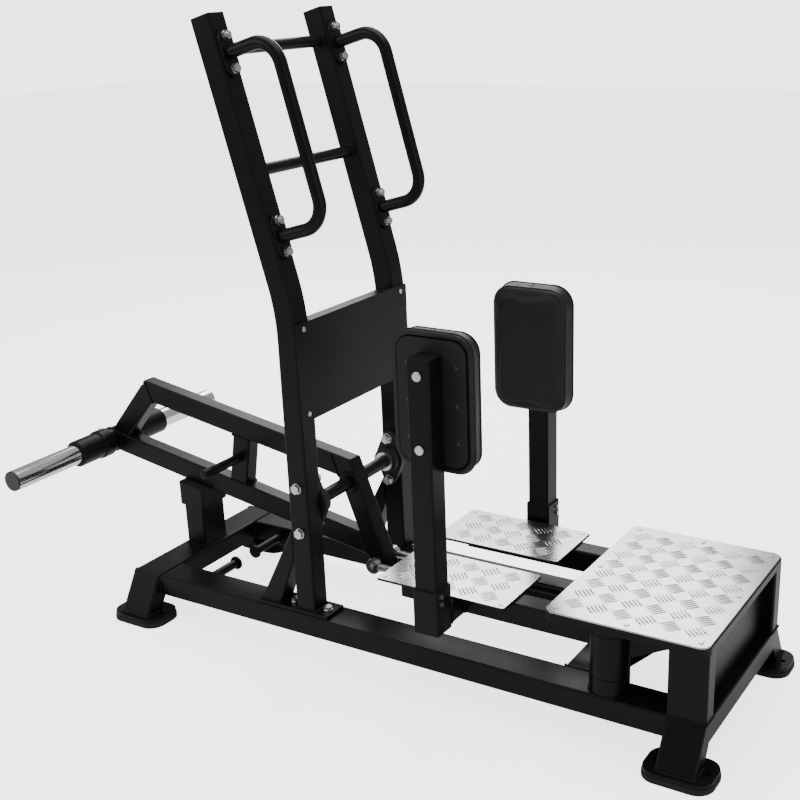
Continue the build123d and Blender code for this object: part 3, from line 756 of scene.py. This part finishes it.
# floor, light and camera
studio = {"reach": 14.0, "floor": 0.97, "glow": 2.6, "backdrop": 3.4, "world": 0.40,
          "lamps": (("overhead", (0.1, 0.2, 3.6), 0.4, (3.2, 2.4), 110.0),
                    ("key", (-2.6, -3.0, 2.6), 0.6, (2.0, 2.0), 46.0),
                    ("fill", (3.6, -1.2, 1.4), 0.5, (1.6, 2.2), 24.0),
                    ("backLight", (-1.5, 3.2, 2.6), 0.7, (2.6, 1.4), 80.0))}


def makeFloor():
    mesh = bpy.data.meshes.new("studioFloor")
    reach = studio["reach"]
    corners = [(-reach, -reach, 0), (reach, -reach, 0), (reach, reach, 0), (-reach, reach, 0)]
    mesh.from_pydata(corners, [], [(0, 1, 2, 3)])
    floor = linked("studioFloor", mesh)
    pale = Finish("paleFloor", Roughness=0.65, Specular_IOR_Level=0.2,
                  Emission_Strength=studio["glow"])
    seen = pale.node("ShaderNodeLightPath")  # the glow is for the camera and lights nothing
    shade = pale.noise(3.0, 2.0)
    tone = studio["floor"]
    pale.use(Base_Color=pale.colour(shade, (tone,) * 3, (tone + 0.02,) * 3),
             Emission_Color=pale.colour(seen, (0, 0, 0), (1, 1, 1)))
    mesh.materials.append(pale.material)


def areaLight(name, place, target, size, power):
    data = bpy.data.lights.new(name, "AREA")
    data.shape = "RECTANGLE"
    data.size, data.size_y = size
    data.energy = power
    lamp = linked(name, data)
    lamp.location = place
    lamp.rotation_mode = "QUATERNION"
    lamp.rotation_quaternion = (Vector(target) - Vector(place)).to_track_quat("-Z", "Y")


def makeLight():
    world = bpy.data.worlds.new("studioWorld")
    bpy.context.scene.world = world
    world.use_nodes = True
    sky = world.node_tree.nodes["Background"]
    sky.inputs["Color"].default_value = (1, 1, 1, 1)
    # the backdrop is pale to the camera and dimmer to the dark paint that mirrors it
    seen = addNode(world.node_tree, "ShaderNodeLightPath")
    blend = addNode(world.node_tree, "ShaderNodeMath", {"operation": "MULTIPLY_ADD"},
                    {0: Wire(world.node_tree, seen.outputs["Is Camera Ray"]),
                     1: studio["backdrop"] - studio["world"], 2: studio["world"]})
    world.node_tree.links.new(blend.outputs[0], sky.inputs["Strength"])
    for name, place, aim, size, power in studio["lamps"]:
        areaLight(name, place, (0, 0, aim), size, power)


cameraSpec = {"place": (1.4944, -2.1901, 1.4298), "azimuth": 31.69, "elevation": 19.73,
              "roll": 1.82, "lens": 56.9, "shift": (-0.0499, 0.0415)}


def makeCamera():
    spec = cameraSpec
    turn, rise, roll = (math.radians(spec[k]) for k in ("azimuth", "elevation", "roll"))
    forward = Vector((-math.sin(turn) * math.cos(rise), math.cos(turn) * math.cos(rise),
                      -math.sin(rise)))
    right = forward.cross(Vector((0, 0, 1))).normalized()
    down = forward.cross(right)
    across = right * math.cos(roll) + down * math.sin(roll)
    below = down * math.cos(roll) - right * math.sin(roll)
    data = bpy.data.cameras.new("camera")
    data.lens = spec["lens"]
    data.sensor_width = 36.0
    data.shift_x, data.shift_y = spec["shift"]
    camera = linked("camera", data)
    grid = Matrix((across, -below, -forward)).transposed().to_4x4()
    camera.matrix_world = Matrix.Translation(spec["place"]) @ grid
    bpy.context.scene.camera = camera


makeFloor()
makeLight()
makeCamera()

print("scene ready")
